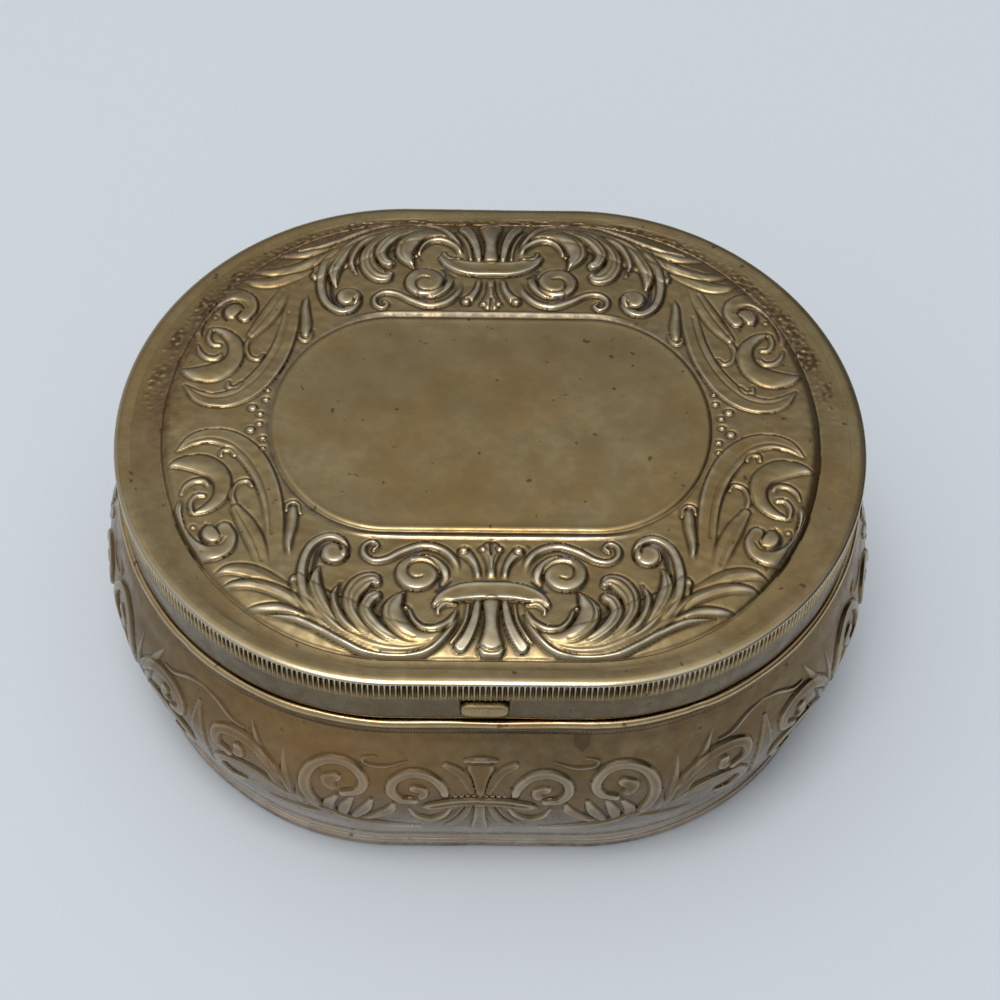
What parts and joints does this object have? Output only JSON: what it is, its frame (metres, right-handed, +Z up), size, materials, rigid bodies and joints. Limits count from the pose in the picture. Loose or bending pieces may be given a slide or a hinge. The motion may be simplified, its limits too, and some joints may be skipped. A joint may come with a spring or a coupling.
{
  "type": "hinged powder box",
  "caption": "Oval brass box with a bulging, scroll-ornamented body, a hinged lid with a reeded rim, and a press-in front catch.",
  "frame": {"origin": "middle of the foot's underside, on the surface the box rests on", "axes": "+Z up, +X along the box's width, -Y towards the front with the catch, hinge at +Y"},
  "size_m": [0.0866, 0.0734, 0.0342],
  "materials": {
    "lid_brass": "aged stamped brass, dark patina in the recesses",
    "rim_brass": "aged brass, worn bright on the edges",
    "wall_brass": "aged stamped brass, grey-brown patina",
    "polished_brass": "smooth worn brass",
    "inner_brass": "satin brass with fine scratches",
    "spring_steel": "dull spring steel"
  },
  "bodies": {
    "box": {"body_wall": "wall_brass", "foot_ring": "polished_brass", "base_plate": "inner_brass", "milled_band": "wall_brass", "shoulder_bead": "rim_brass", "collar": "inner_brass", "catch_spring_foot": "spring_steel", "body_hinge_leaf": "wall_brass", "hinge_pin": "spring_steel"},
    "catch": {"catch_tab": "rim_brass"},
    "lid": {"lid_skirt": "lid_brass", "reeded_rim": "rim_brass", "lid_top": "lid_brass", "lid_hinge_leaf": "lid_brass"}
  },
  "joints": [
    {"name": "lid_hinge", "type": "hinge", "parent": "box", "child": "lid", "pos_m": [0, 0.03545, 0.0264], "axis": [-1, 0, 0], "range_deg": [0, 105]},
    {"name": "catch_press", "type": "hinge", "parent": "box", "child": "catch", "pos_m": [-0.0006, -0.03205, 0.0221], "axis": [-1, 0, 0], "range_deg": [0, 12], "stiffness_Nm_per_rad": 0.07}
  ]
}
